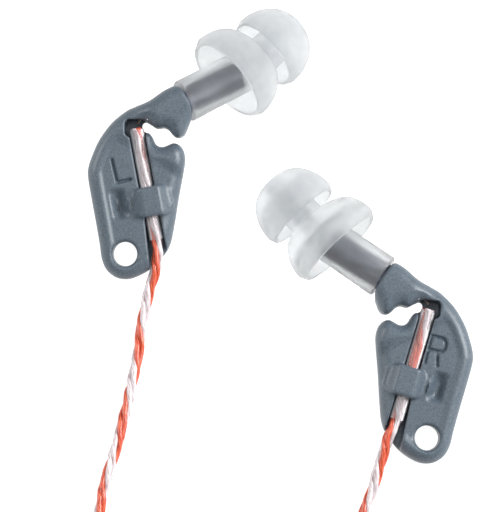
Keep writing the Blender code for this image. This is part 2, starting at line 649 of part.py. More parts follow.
def add_junction():
    """The splitter and the slider that runs on the two cables above it."""
    frame = add_empty("pair_frame", world_point(PAIR_X, SPLITTER_BOTTOM, PAIR_HEIGHT),
                      (0, 0, math.pi / 2), None)
    length = SPLITTER_TOP - SPLITTER_BOTTOM
    stations = [(0, 1.5, 1.45), (0.6, 1.7, 1.6), (5, 1.9, 1.65), (9, 2.6, 1.65),
                (length - 0.6, 2.7, 1.6), (length, 2.4, 1.4)]
    splitter = make_object("splitter", oval_bar(stations), "black", frame)
    start = SLIDER_TOP - SLIDER_LENGTH - SPLITTER_BOTTOM
    stations = [(0, 2.4, 1.35), (0.7, 2.75, 1.6), (SLIDER_LENGTH - 0.7, 2.75, 1.6),
                (SLIDER_LENGTH, 2.4, 1.35)]
    seat = add_empty("slider_frame", (start, 0, 0), (0, 0, 0), frame)
    slider = make_object("cable_slider", oval_bar(stations), "black", seat)
    bore = CABLE_RADIUS + 0.12
    for number, aside in ((1, -PAIR_SPACING / 2), (2, PAIR_SPACING / 2)):
        hole = rod(length - 5.0, length + 1, bore, 12)
        bmesh.ops.translate(hole, vec=(0, aside, 0), verts=hole.verts)
        combine(splitter, make_object("splitter_cutter_%d" % number, hole, "black", frame),
                "DIFFERENCE")
        hole = rod(-1, SLIDER_LENGTH + 1, bore, 12)
        bmesh.ops.translate(hole, vec=(0, aside, 0), verts=hole.verts)
        combine(slider, make_object("slider_cutter_%d" % number, hole, "black", seat), "DIFFERENCE")
    chamber = rod(-1, length - 4.5, MAIN_RADIUS + 0.12, 12)
    combine(splitter, make_object("splitter_cutter_3", chamber, "black", frame), "DIFFERENCE")


def add_plug():
    """A 3.5 mm three-contact plug lying on the floor, from its boot up to the tip contact."""
    frame = add_empty("plug_frame", world_point(PLUG_X, BOOT_END, PLUG_HEIGHT), (0, 0, math.pi / 2), None)
    bore = MAIN_RADIUS + 0.12
    boot = [(0, 1.5), (9.0, 2.4), (9.0, 2.6), (10.5, 2.6), (10.5, bore), (0, bore)]
    shell = [(10.8, 3.1), (11.3, 3.3), (25.0, 3.3), (25.6, 3.0), (25.6, 2.05), (10.8, 2.05)]
    shank = 26.0
    sleeve = [(shank - 9.0, 1.75), (shank + 7.0, 1.75), (shank + 7.0, 1.2), (shank - 9.0, 1.2)]
    ring = [(shank + 7.7, 1.75), (shank + 9.4, 1.75), (shank + 9.4, 0.75), (shank + 7.7, 0.75)]
    collar_rear = [(shank + 7.06, 1.7), (shank + 7.64, 1.7), (shank + 7.64, 0.75), (shank + 7.06, 0.75)]
    collar_front = [(shank + 9.46, 1.7), (shank + 10.0, 1.7), (shank + 10.0, 0.75), (shank + 9.46, 0.75)]
    tip = [(shank - 7.0, 0.6), (shank + 10.06, 0.6), (shank + 10.06, 1.7), (shank + 11.2, 1.3),
           (shank + 12.6, 1.75), (shank + 14.0, 0.4)]
    make_object("plug_boot", turned(boot, 20), "black", frame)
    make_object("plug_shell", turned(shell, 24), "black", frame)
    make_object("plug_sleeve_contact", turned(sleeve, 20), "gold", frame)
    make_object("plug_ring_contact", turned(ring, 20), "gold", frame)
    make_object("plug_insulator_rear", turned(collar_rear, 20), "black", frame)
    make_object("plug_insulator_front", turned(collar_front, 20), "black", frame)
    make_object("plug_tip_contact", turned(tip, 20, hollow=False), "gold", frame)


def main():
    clear_scene()
    for side in SIDES:
        frames = ear_frames(side)
        add_paddle(side, frames)
        add_neck(side, frames)
        add_stem_parts(side, frames)
        add_driver(side, frames)
        add_sleeve(side, frames)
        add_leads(side, frames)
    add_cables()
    add_junction()
    add_plug()


main()
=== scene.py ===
"""The in-ear monitors' looks: moulded bodies, frosted tips, clear sleeves and twisted cables.

Shapes are drawn in millimetres in the same frames as the CAD model and placed with the same sizes.
"""

import json
import math

import bmesh
import bpy
import numpy as np
from mathutils import Matrix, Vector


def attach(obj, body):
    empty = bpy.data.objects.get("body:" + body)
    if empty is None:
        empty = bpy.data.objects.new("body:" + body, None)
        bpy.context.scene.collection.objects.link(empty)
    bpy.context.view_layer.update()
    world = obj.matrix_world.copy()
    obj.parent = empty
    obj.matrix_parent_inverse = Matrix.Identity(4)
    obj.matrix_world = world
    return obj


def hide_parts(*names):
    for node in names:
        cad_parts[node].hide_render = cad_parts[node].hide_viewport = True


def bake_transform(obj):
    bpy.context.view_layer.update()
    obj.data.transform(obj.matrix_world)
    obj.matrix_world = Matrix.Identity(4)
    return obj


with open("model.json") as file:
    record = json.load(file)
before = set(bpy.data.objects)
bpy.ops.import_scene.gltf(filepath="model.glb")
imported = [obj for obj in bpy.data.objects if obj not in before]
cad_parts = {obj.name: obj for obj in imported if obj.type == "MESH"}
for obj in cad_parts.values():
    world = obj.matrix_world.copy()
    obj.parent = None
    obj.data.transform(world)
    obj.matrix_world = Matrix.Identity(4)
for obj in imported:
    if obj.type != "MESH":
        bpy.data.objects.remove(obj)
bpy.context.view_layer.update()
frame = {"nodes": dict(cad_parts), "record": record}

MM = 0.001

# ---- the CAD model's sizes, in millimetres
PADDLE_THICK = 3.9
NECK_THICK = 4.8
HOLE_RADIUS = 1.57
STEM_BASE = (7.35, 19.5)
STEM_ANGLE = math.radians(27)
SLEEVE_TOP = (1.44, 15.92)
SLEEVE_BOTTOM = (4.05, 1.88)
SLEEVE_RADIUS = 0.96
THIN_BORE = 0.87  # wider than the CAD model's, since the strands press out to fill the sleeve
SLEEVE_HEIGHT = 2.55
BRIDGE_START = 7.4
BRIDGE_END = 11.35
STEM_RADIUS = 1.8
STEM_BORE = 1.1
STEM_SOCKET_DEPTH = 0.6
STEM_LENGTH = 8.4
TIP_BORE = 1.9
TIP_WALL = 0.88
TIP_START = 0.3
TIP_END = 19.3
TIP_CORE = 2.45
OUTLET_RADIUS = 1.1
REAR_RIM = 6.8
REAR_RADIUS = 6.3
FRONT_RIM = 13.2
FRONT_RADIUS = 5.25
FLANGE_WALL = 0.6
BEND_START = 8.0
BEND_END = 9.4
BEND_ANGLE = math.radians(14)
REAR_SHIFT = 0.6
CABLE_RADIUS = 0.7
MAIN_RADIUS = 0.9
TIE_THICK = 0.3
TIE_HALF_WIDTH = 1.4
COIL_FLOOR = TIE_THICK + 0.05
COIL_TURNS = 3
COIL_MEAN_RADIUS = 6.6
MAIN_TURNS = 6
MAIN_MEAN_RADIUS = 10.5
PAIR_HEIGHT = 1.7
PAIR_SPACING = 2.0
SPLITTER_TOP = -77.5
SPLITTER_BOTTOM = -89.5
SLIDER_LENGTH = 7.0
SLIDER_TOP = -69.0
PAIR_X = 13.0
PLUG_X = 0.0
PLUG_HEIGHT = 3.3
BOOT_END = -106.0
LEFT_HOLE = (-19.71, -1.91)
LOWEST_EDGE = 3.24
SIDES = {
    "left": {"mirror": 1, "place": (0.0, 0.0), "turn": 0.0, "tilt": 15.3, "droop": 21.0,
             "sleeve_lay": 0.25},
    "right": {"mirror": -1, "place": (38.26, -24.13), "turn": -6.3, "tilt": 10.5, "droop": 8.0,
              "sleeve_lay": 0.76},
}

# ---- the cables' free routes, from the left lanyard hole and the floor
LEFT_FALL = [(4.0, -2.1, 3.0), (3.0, -5.6, 1.9), (2.2, -9.15, 1.1), (1.75, -12.75, 0.75),
             (0.6, -18.75, 0.7), (-0.8, -24.8, 0.7), (-2.25, -29.9, 0.7), (-2.95, -33.7, 0.72),
             (-3.25, -37.0, 0.85), (-3.25, -40.2, 1.0)]
LEFT_JOIN = [(-3.25, -50.8, 2.0), (-2.4, -54.4, 1.1), (1.0, -57.4, 0.8), (6.0, -58.6, 0.9),
             (10.0, -60.0, 1.3), (11.8, -62.6, 1.7), (12.0, -65.5, 1.7), (12.0, -72.0, 1.7),
             (12.0, -82.0, 1.7)]
RIGHT_FALL = [(33.4, -24.6, 3.1), (32.45, -27.6, 2.3), (31.2, -31.5, 1.2), (30.25, -34.1, 0.85),
              (30.2, -36.4, 0.85), (31.3, -39.0, 0.95)]
RIGHT_JOIN = [(32.0, -50.8, 1.9), (30.4, -54.8, 1.1), (26.0, -57.4, 0.8), (20.5, -58.4, 0.9),
              (16.2, -59.8, 1.3), (14.2, -62.5, 1.7), (14.0, -65.5, 1.7), (14.0, -72.0, 1.7),
              (14.0, -82.0, 1.7)]
MAIN_FALL = [(13.0, -86.5, 1.7), (13.0, -90.5, 1.6), (13.0, -94.6, 1.25)]
MAIN_JOIN = [(13.0, -110.0, 2.0), (12.3, -113.4, 1.2), (9.5, -116.2, 0.95), (5.5, -116.9, 0.95),
             (1.8, -115.0, 1.5), (0.2, -111.3, 2.7), (0.0, -108.2, 3.2), (0.0, -103.0, 3.3)]
COIL_CENTRES = {"left": (4.75, -45.2), "right": (24.0, -45.2), "main": (28.0, -102.3)}

# ---- the twisted cables: real lengths in metres, then millimetres and radians
SIDE_PITCH = -10.3
MAIN_PITCH = -12.0
SIDE_STEP = 0.45
MAIN_STEP = 0.6
STRAND_START = 0.02  # how far round the strands stand where they leave the sleeve
STRAND_FULLNESS = 1.07  # loose strands stand a little proud of the CAD cable


# ---------------------------------------------------------------- frames

def ear_matrix(side):
    """From an earpiece's own millimetres to world metres, without the mirroring."""
    facts = SIDES[side]
    tilt = math.radians(facts["tilt"])
    hole = Vector((LEFT_HOLE[0] + facts["place"][0], LEFT_HOLE[1] + facts["place"][1],
                   LOWEST_EDGE * math.sin(tilt)))
    turned = Matrix.Rotation(tilt, 4, "X") @ Matrix.Rotation(math.radians(facts["turn"]), 4, "Z")
    return Matrix.Scale(MM, 4) @ Matrix.Translation(hole) @ turned


def stem_matrix(side):
    """From a stem's own millimetres to world metres: X runs out along the stem."""
    facts = SIDES[side]
    base = Vector((facts["mirror"] * STEM_BASE[0], STEM_BASE[1], NECK_THICK / 2))
    heading = STEM_ANGLE if facts["mirror"] > 0 else math.pi - STEM_ANGLE
    turned = Matrix.Rotation(heading, 4, "Z") @ Matrix.Rotation(math.radians(facts["droop"]), 4, "Y")
    return ear_matrix(side) @ Matrix.Translation(base) @ turned


def floor_matrix(x, y, z):
    """World metres of a frame that stands at that place from the left lanyard hole, X towards +Y."""
    place = Vector((LEFT_HOLE[0] + x, LEFT_HOLE[1] + y, z))
    return Matrix.Scale(MM, 4) @ Matrix.Translation(place) @ Matrix.Rotation(math.pi / 2, 4, "Z")


def world_point(x, y, z):
    """World millimetres of a point given from the left lanyard hole and the floor."""
    return Vector((LEFT_HOLE[0] + x, LEFT_HOLE[1] + y, z))


# ---------------------------------------------------------------- materials

def new_material(name, colour, roughness, metallic=0.0):
    made = bpy.data.materials.new(name)
    made.use_nodes = True
    shader = made.node_tree.nodes["Principled BSDF"]
    shader.inputs["Base Color"].default_value = (*colour, 1.0)
    shader.inputs["Roughness"].default_value = roughness
    shader.inputs["Metallic"].default_value = metallic
    return made


def add_node(made, kind, **values):
    node = made.node_tree.nodes.new(kind)
    for key, value in values.items():
        if key in node.inputs:
            node.inputs[key].default_value = value
        else:
            setattr(node, key, value)
    return node


def link(made, out, into):
    made.node_tree.links.new(out, into)


def colour_ramp(made, noise, stops):
    """The base colour from a noise, by (position, colour) stops."""
    ramp = add_node(made, "ShaderNodeValToRGB")
    points = ramp.color_ramp.elements
    for point, (position, colour) in zip(points, (stops[0], stops[-1])):
        point.position = position
        point.color = (*colour, 1.0)
    for position, colour in stops[1:-1]:
        points.new(position).color = (*colour, 1.0)
    link(made, noise.outputs["Fac"], ramp.inputs["Fac"])
    link(made, ramp.outputs["Color"], made.node_tree.nodes["Principled BSDF"].inputs["Base Color"])


def relief(made, noise, strength, distance):
    """A noise pressed into the surface."""
    bump = add_node(made, "ShaderNodeBump", Strength=strength, Distance=distance)
    link(made, noise.outputs["Fac"], bump.inputs["Height"])
    link(made, bump.outputs["Normal"], made.node_tree.nodes["Principled BSDF"].inputs["Normal"])


def mapped(made, source, low, high, start=0.0):
    """A value from start to 1, mapped from low to high."""
    node = add_node(made, "ShaderNodeMapRange")
    node.inputs["From Min"].default_value = start
    node.inputs["To Min"].default_value = low
    node.inputs["To Max"].default_value = high
    link(made, source, node.inputs["Value"])
    return node.outputs["Result"]


def mixed_surface(made, share, one, two):
    """The material's surface, a share of shader two in shader one."""
    mixed = add_node(made, "ShaderNodeMixShader")
    link(made, share.outputs["Value"], mixed.inputs[0])
    link(made, one.outputs["BSDF"], mixed.inputs[1])
    link(made, two.outputs["BSDF"], mixed.inputs[2])
    link(made, mixed.outputs["Shader"], made.node_tree.nodes["Material Output"].inputs["Surface"])


def grain(made, scale, bump, distance, dark, light, rough_low, rough_high, detail=4.0):
    """Fine noise in the colour, the roughness and the surface of a material."""
    shader = made.node_tree.nodes["Principled BSDF"]
    place = add_node(made, "ShaderNodeTexCoord")
    noise = add_node(made, "ShaderNodeTexNoise", Scale=scale, Detail=detail)
    link(made, place.outputs["Object"], noise.inputs["Vector"])
    colour_ramp(made, noise, [(0.3, dark), (0.7, light)])
    link(made, mapped(made, noise.outputs["Fac"], rough_low, rough_high), shader.inputs["Roughness"])
    relief(made, noise, bump, distance)
    return made


def body_material():
    """Matte blue-grey soft moulding with a fine sand texture."""
    made = new_material("moulded_grey", (0.08, 0.105, 0.13), 0.5)
    grain(made, 5200.0, 0.6, 0.00003, (0.056, 0.076, 0.096), (0.112, 0.144, 0.176), 0.32, 0.50)
    made.node_tree.nodes["Principled BSDF"].inputs["Specular IOR Level"].default_value = 0.5
    return made


def silicone_material():
    """Frosted silicone: clearest and smoothest where it grips the stem, milky in flanges and core."""
    made = new_material("frosted_silicone", (0.66, 0.675, 0.685), 0.45)
    grain(made, 900.0, 0.12, 0.00002, (0.62, 0.64, 0.65), (0.70, 0.71, 0.72), 0.43, 0.47, 2.0)
    shader = made.node_tree.nodes["Principled BSDF"]
    shader.inputs["IOR"].default_value = 1.22
    shader.inputs["Subsurface Weight"].default_value = 1.0
    shader.inputs["Subsurface Radius"].default_value = (1.0, 1.0, 1.0)
    shader.inputs["Subsurface Scale"].default_value = 0.003
    clearness = add_node(made, "ShaderNodeAttribute", attribute_name="clearness").outputs["Fac"]
    rough = add_node(made, "ShaderNodeMath", operation="MULTIPLY")
    link(made, mapped(made, clearness, 1.0, 0.75, 0.5), rough.inputs[0])
    link(made, shader.inputs["Roughness"].links[0].from_socket, rough.inputs[1])
    link(made, rough.outputs["Value"], shader.inputs["Roughness"])
    link(made, mapped(made, clearness, 0.82, 0.92), shader.inputs["Transmission Weight"])
    let_lamps_through(made, shader, 0.7)
    return made


def let_lamps_through(made, shader, share):
    """Cast only part of a full shadow, as a thin milky wall does."""
    path = add_node(made, "ShaderNodeLightPath")
    part = add_node(made, "ShaderNodeMath", operation="MULTIPLY")
    part.inputs[1].default_value = share
    link(made, path.outputs["Is Shadow Ray"], part.inputs[0])
    mixed_surface(made, part, shader, add_node(made, "ShaderNodeBsdfTransparent"))


def stem_material():
    """Dark grey plastic with a cloudy mottle."""
    made = new_material("stem_grey", (0.02, 0.022, 0.026), 0.5)
    return grain(made, 1200.0, 0.05, 0.00001, (0.002, 0.003, 0.008), (0.11, 0.125, 0.17), 0.5, 0.65)


def clear_material():
    """Thin clear tubing: what is behind it shows through a faint haze, and its edges shine."""
    made = new_material("clear_tubing", (0.9, 0.9, 0.92), 0.08)
    grain(made, 700.0, 0.05, 0.00001, (0.86, 0.86, 0.88), (0.94, 0.94, 0.96), 0.05, 0.12, 2.0)
    shader = made.node_tree.nodes["Principled BSDF"]
    through = add_node(made, "ShaderNodeBsdfTransparent")
    shine = add_node(made, "ShaderNodeFresnel", IOR=1.45)
    haze = add_node(made, "ShaderNodeMath", operation="ADD")
    haze.inputs[1].default_value = 0.05
    link(made, shine.outputs["Fac"], haze.inputs[0])
    mixed_surface(made, haze, through, shader)
    return made


def strand_material(name, dark, middle, light):
    """A bundle of fine fibres: streaks that run along the strand under a clear skin."""
    made = new_material(name, middle, 0.35)
    shader = made.node_tree.nodes["Principled BSDF"]
    shader.inputs["Coat Weight"].default_value = 0.3
    shader.inputs["Coat Roughness"].default_value = 0.15
    uv = add_node(made, "ShaderNodeUVMap", uv_map="fibres")
    stretch = add_node(made, "ShaderNodeMapping")
    stretch.inputs["Scale"].default_value = (14.0, 0.55, 1.0)
    link(made, uv.outputs["UV"], stretch.inputs["Vector"])
    noise = add_node(made, "ShaderNodeTexNoise", Scale=1.4, Detail=4.0, Roughness=0.6)
    link(made, stretch.outputs["Vector"], noise.inputs["Vector"])
    colour_ramp(made, noise, [(0.36, dark), (0.5, middle), (0.64, light)])
    relief(made, noise, 0.4, 0.00008)
    return made


def plain_detail(name, colour, roughness, metallic=0.0, scale=3000.0):
    """A small part's finish: its colour with a little grain."""
    dark = tuple(0.85 * c for c in colour)
    light = tuple(min(1.0, 1.12 * c) for c in colour)
    made = new_material(name, colour, roughness, metallic)
    return grain(made, scale, 0.12, 0.00001, dark, light, 0.85 * roughness, 1.15 * roughness)


# ---------------------------------------------------------------- mesh building

def mesh_object(name, verts, faces, materials, smooth=True):
    mesh = bpy.data.meshes.new(name)
    mesh.from_pydata([tuple(v) for v in verts], [], [tuple(f) for f in faces])
    for one in materials:
        mesh.materials.append(one)
    made = bpy.data.objects.new(name, mesh)
    bpy.context.collection.objects.link(made)
    if smooth:
        mesh.shade_smooth()
    return made


def tidy_normals(made, sharp=None):
    shape = bmesh.new()
    shape.from_mesh(made.data)
    bmesh.ops.recalc_face_normals(shape, faces=shape.faces)
    shape.to_mesh(made.data)
    shape.free()
    made.data.shade_smooth()
    if sharp:
        made.data.set_sharp_from_angle(angle=math.radians(sharp))
    return made


def arc(centre, along, across, start, end, steps):
    turns = [math.radians(start + (end - start) * k / steps) for k in range(steps + 1)]
    return [(centre[0] + along * math.cos(t), centre[1] + across * math.sin(t)) for t in turns]


def rounded(profile, radius, steps=4):
    """A closed profile with each corner replaced by a small curve."""
    out = []
    count = len(profile)
    for i in range(count):
        before, here, after = (Vector(profile[(i + k) % count]) for k in (-1, 0, 1))
        reach_in = min(radius, (before - here).length * 0.45)
        reach_out = min(radius, (after - here).length * 0.45)
        one = here + (before - here).normalized() * reach_in
        two = here + (after - here).normalized() * reach_out
        for k in range(steps + 1):
            t = k / steps
            out.append(tuple((1 - t) ** 2 * one + 2 * t * (1 - t) * here + t * t * two))
    return out


def turned(profile, steps, closed=True):
    """Vertices and faces of a profile of (along, radius) points turned about X."""
    verts = []
    for along, radius in profile:
        for k in range(steps):
            t = 2 * math.pi * k / steps
            verts.append((along, radius * math.cos(t), radius * math.sin(t)))
    faces = []
    rows = len(profile)
    for i in range(rows if closed else rows - 1):
        j = (i + 1) % rows
        for k in range(steps):
            m = (k + 1) % steps
            faces.append((i * steps + k, i * steps + m, j * steps + m, j * steps + k))
    if not closed:
        faces.append(tuple(range(steps)))
        faces.append(tuple((rows - 1) * steps + k for k in range(steps)))
    return verts, faces


def placed(name, shape, matrix, material, sharp=40):
    verts, faces = shape
    made = mesh_object(name, [matrix @ Vector(v) for v in verts], faces, [material])
    return tidy_normals(made, sharp)


# ---------------------------------------------------------------- moulded body as a distance field

CELL = 0.11
FIELD_DEPTH = 0.38
RIM_ROUND = 1.75
BACK_ROUND = 0.7
POCKET_MIDDLE = (-3.85, 9.0)  # aside of the sleeve's line, and along it
POCKET_HALF = (1.2, 2.1)
POCKET_DEPTH = 1.1
BRIDGE_FOOT = 3.4
BRIDGE_RISE = 1.3
BRIDGE_REACH = 3.0
RIDGE_ASIDE = -2.65
RIDGE_TOP = 3.95
LETTER_DEPTH = 0.5
LETTER_WIDTH = 0.27
CAVITY_MIDDLE = (1.35, 16.15)
CAVITY_HALF = (0.75, 0.5)
CAVITY_ROUND = 0.62
CAVITY_FLOOR = 1.2
SLOT_POINT = (1.0, 17.3)
FIELD_BOX = ((-5.1, -3.7, -0.35), (10.3, 23.0, 5.4))


def smooth_closed(points, spacing=0.12):
    """A closed curve through the points, as short straight pieces."""
    count = len(points)
    out = []
    for i in range(count):
        a, b, c, d = (np.array(points[(i + k) % count]) for k in (-1, 0, 1, 2))
        pieces = max(2, int(np.linalg.norm(c - b) / spacing))
        for k in range(pieces):
            t = k / pieces
            out.append(0.5 * (2 * b + (c - a) * t + (2 * a - 5 * b + 4 * c - d) * t * t
                              + (3 * b - 3 * c + d - a) * t ** 3))
    return np.array(out)


def polygon_distance(x, y, polygon):
    """Signed distance to a closed polygon on a grid, negative inside."""
    best = np.full(x.shape, 1e9)
    inside = np.zeros(x.shape, bool)
    for (x0, y0), (x1, y1) in zip(polygon, np.roll(polygon, -1, axis=0)):
        dx, dy = x1 - x0, y1 - y0
        t = np.clip(((x - x0) * dx + (y - y0) * dy) / (dx * dx + dy * dy + 1e-12), 0, 1)
        best = np.minimum(best, (x - x0 - t * dx) ** 2 + (y - y0 - t * dy) ** 2)
        if y0 != y1:
            crosses = (y0 > y) != (y1 > y)
            inside ^= crosses & (x < (x1 - x0) * (y - y0) / (y1 - y0) + x0)
    return np.where(inside, -1, 1) * np.sqrt(best)


def soft_min(a, b, k):
    h = np.clip(0.5 + 0.5 * (b - a) / k, 0, 1)
    return b + (a - b) * h - k * h * (1 - h)


def soft_max(a, b, k):
    return -soft_min(-a, -b, k)


def soft_step(low, high, value):
    t = np.clip((value - low) / (high - low), 0, 1)
    return t * t * (3 - 2 * t)


def rounded_slab(flat, top, bottom, top_round, bottom_round):
    """A slab over a flat shape, with its own edge radius above and below."""
    q = np.maximum(top, bottom)
    radius = np.where(top > bottom, top_round, bottom_round)
    a, b = flat + radius, q + radius
    outside = np.sqrt(np.maximum(a, 0) ** 2 + np.maximum(b, 0) ** 2)
    return outside + np.minimum(np.maximum(a, b), 0) - radius


BODY_OUTLINE = [
    (7.9, 22.45), (6.65, 21.75), (5.0, 20.95), (3.1, 19.65), (1.4, 18.95), (0.15, 18.38), (-1.5, 17.08),
    (-2.6, 15.78), (-3.5, 14.38), (-4.22, 12.75), (-4.73, 11.2), (-4.78, 9.8), (-4.24, 6.6), (-3.74, 3.9),
    (-3.28, 1.2), (-3.02, -0.6), (-2.42, -2.0), (-1.3, -2.95), (0.0, -3.24), (1.4, -2.95),
    (3.3, -1.9), (5.0, -0.1), (5.8, 1.35), (6.3, 3.7), (6.9, 7.4), (7.5, 10.6), (7.7, 12.2),
    (7.45, 13.4), (6.9, 14.05), (6.2, 14.27), (5.5, 14.0), (4.9, 13.78), (4.3, 13.85), (3.85, 14.25),
    (3.55, 14.9), (3.15, 15.45), (2.5, 15.75), (2.2, 16.15), (2.2, 16.65), (2.6, 16.95),
    (3.3, 16.6), (4.0, 16.15), (4.5, 16.12), (5.0, 16.2), (5.6, 15.9), (6.05, 15.35), (6.5, 15.0),
    (7.05, 14.95), (7.6, 15.3), (8.0, 16.05), (8.6, 17.3), (9.0, 18.0), (9.8, 19.0)]


def along_sleeve(distance):
    down = (Vector(SLEEVE_BOTTOM) - Vector(SLEEVE_TOP)).normalized()
    return Vector(SLEEVE_TOP) + down * distance


def sleeve_length():
    return (Vector(SLEEVE_BOTTOM) - Vector(SLEEVE_TOP)).length


def segment_distance(x, y, start, end):
    dx, dy = end[0] - start[0], end[1] - start[1]
    t = np.clip(((x - start[0]) * dx + (y - start[1]) * dy) / (dx * dx + dy * dy), 0, 1)
    return np.hypot(x - start[0] - t * dx, y - start[1] - t * dy)


def letter_strokes(side):
    """Plain channel letter strokes, in the drawn (left) frame; the right one is mirrored later."""
    if side == "left":
        return [((-1.65, 12.1), (-0.95, 9.15)), ((-0.95, 9.15), (0.75, 9.55))]
    turn = math.radians(-9)
    place = Vector((0.1, 10.95))

    def at(x, y):
        return (place.x - (x * math.cos(turn) - y * math.sin(turn)),
                place.y + x * math.sin(turn) + y * math.cos(turn))

    half, wide = 1.75, 1.75
    bowl = [at(wide * 0.5 + 0.62 * math.cos(t) - 0.35, half - 0.87 + 0.87 * math.sin(t))
            for t in np.linspace(math.pi / 2, -math.pi / 2, 7)]
    left = -wide / 2
    outline = [at(left, half)] + bowl + [at(left, half - 1.74)]
    strokes = [(at(left, -half), at(left, half))]
    strokes += list(zip(outline, outline[1:]))
    strokes.append((at(0.25, half - 1.74), at(0.72, -half)))
    return strokes


def body_field(side, x, y, z, flat):
    """Signed distance of the whole moulding in the drawn (left) frame."""
    top_axis = along_sleeve(0)
    down = (along_sleeve(1) - along_sleeve(0))
    along = (x - top_axis.x) * down.x + (y - top_axis.y) * down.y
    aside = (x - top_axis.x) * -down.y + (y - top_axis.y) * down.x

    past_slot = (x - SLOT_POINT[0]) * math.cos(STEM_ANGLE) + (y - SLOT_POINT[1]) * math.sin(STEM_ANGLE)
    rise = soft_step(0.0, 3.2, past_slot) * soft_step(14.4, 15.2, y)
    crown = PADDLE_THICK + (NECK_THICK - PADDLE_THICK) * rise
    field_end = 0.75 * (y - 15.6) + 0.45 * (x + 0.2)
    inner = FIELD_DEPTH * soft_step(1.2, 2.2, -flat)
    outer = 0.25 + 0.12 * np.maximum(aside - 1.2, 0)
    valley = inner + (outer - inner) * soft_step(0.4, 1.6, aside)
    valley = valley * soft_step(0.1, -1.3, field_end)
    across = np.sqrt((aside - POCKET_MIDDLE[0]) ** 2 + 0.12) - POCKET_HALF[0]
    pocket = soft_max(across, np.abs(along - POCKET_MIDDLE[1]) - POCKET_HALF[1], 0.7)
    scoop = POCKET_DEPTH * soft_step(-0.1, 1.1, -pocket)
    strokes = np.full(flat.shape, 1e9)
    for start, end in letter_strokes(side):
        strokes = np.minimum(strokes, segment_distance(x, y, start, end))
    engraving = LETTER_DEPTH * np.clip(1 - strokes / LETTER_WIDTH, 0, 1)
    body = rounded_slab(flat, z - crown + valley + scoop + engraving, -z, RIM_ROUND, BACK_ROUND)

    ramp = BRIDGE_FOOT + BRIDGE_RISE * soft_step(-2.5, -0.7, aside) * soft_step(2.9, 1.2, aside)
    ramp = np.maximum(ramp, RIDGE_TOP - 2.5 * np.abs(aside - RIDGE_ASIDE))
    middle = 0.5 * (BRIDGE_START + BRIDGE_END)
    half = 0.5 * (BRIDGE_END - BRIDGE_START)
    shoulder = half - 0.35 * np.maximum(np.abs(aside - 0.3) - 1.1, 0) ** 2
    bridge = soft_max(0.75 * (z - ramp), np.abs(along - middle) - shoulder, 0.5)
    bridge = np.maximum(bridge, np.abs(aside) - BRIDGE_REACH)
    bridge = np.maximum(bridge, 1.0 - z)
    body = soft_min(body, bridge, 0.3)

    width = SLEEVE_RADIUS + 0.05
    outlet = np.maximum(0, along - BRIDGE_END) * 0.075
    channel = np.maximum(aside - width, -aside - width - outlet)
    channel = soft_max(channel, (SLEEVE_HEIGHT - width) - z, 0.5)
    open_top = np.maximum(channel, np.maximum(-0.9 - along, along - BRIDGE_START))
    open_foot = np.maximum(channel, BRIDGE_END - along)
    under = np.maximum(np.hypot(aside, z - SLEEVE_HEIGHT) - width, np.abs(along - middle) - half - 1)
    for cut in (open_top, open_foot):
        body = soft_max(body, -cut, 0.3)
    body = np.maximum(body, -under)

    cavity = np.hypot(np.maximum(np.abs(x - CAVITY_MIDDLE[0]) - CAVITY_HALF[0], 0),
                      np.maximum(np.abs(y - CAVITY_MIDDLE[1]) - CAVITY_HALF[1], 0))
    cavity = soft_max(cavity - CAVITY_ROUND, CAVITY_FLOOR - z, 0.3)
    body = soft_max(body, -cavity, 0.25)

    hole = HOLE_RADIUS - np.hypot(x, y)
    body = soft_max(body, hole, 0.55)

    droop = math.radians(SIDES[side]["droop"])
    ahead = (x - STEM_BASE[0]) * math.cos(STEM_ANGLE) + (y - STEM_BASE[1]) * math.sin(STEM_ANGLE)
    end_face = ahead * math.cos(droop) - (z - NECK_THICK / 2) * math.sin(droop)
    return soft_max(body, end_face, 0.5)


def surface_of(values, origin, cell):
    """Quads along the zero level of a grid of values, with one vertex in each crossed cell."""
    sign = values < 0
    nx, ny, nz = values.shape
    weight = np.zeros((nx - 1, ny - 1, nz - 1))
    total = np.zeros((3, nx - 1, ny - 1, nz - 1))
    corners = [(i, j, k) for i in (0, 1) for j in (0, 1) for k in (0, 1)]

    def part(array, c):
        return array[c[0]:c[0] + nx - 1, c[1]:c[1] + ny - 1, c[2]:c[2] + nz - 1]

    for a in corners:
        for axis in range(3):
            if a[axis]:
                continue
            b = list(a)
            b[axis] = 1
            va, vb = part(values, a), part(values, b)
            crossed = part(sign, a) != part(sign, b)
            t = np.where(crossed, va / np.where(va == vb, 1, va - vb), 0)
            weight += crossed
            for m in range(3):
                step = t if m == axis else 0
                total[m] += crossed * (a[m] + step)
    active = weight > 0
    index = np.full(active.shape, -1)
    index[active] = np.arange(active.sum())
    where = np.argwhere(active)
    verts = where + (total[:, active] / weight[active]).T
    verts = verts * cell + origin
    faces = []
    for axis in range(3):
        u, v = (axis + 1) % 3, (axis + 2) % 3
        low = [slice(1, -1)] * 3
        low[axis] = slice(0, -1)
        high = list(low)
        high[axis] = slice(1, None)
        one, two = sign[tuple(low)], sign[tuple(high)]
        cells = np.argwhere(one != two)
        flip = one[tuple(cells.T)]
        cells = cells + np.array([0 if m == axis else 1 for m in range(3)])
        ring = []
        for du, dv in ((0, 0), (1, 0), (1, 1), (0, 1)):
            at = cells.copy()
            at[:, u] -= du
            at[:, v] -= dv
            ring.append(index[tuple(at.T)])
        quads = np.stack(ring, axis=1)
        quads[~flip] = quads[~flip][:, ::-1]
        faces.append(quads)
    return verts, np.concatenate(faces)


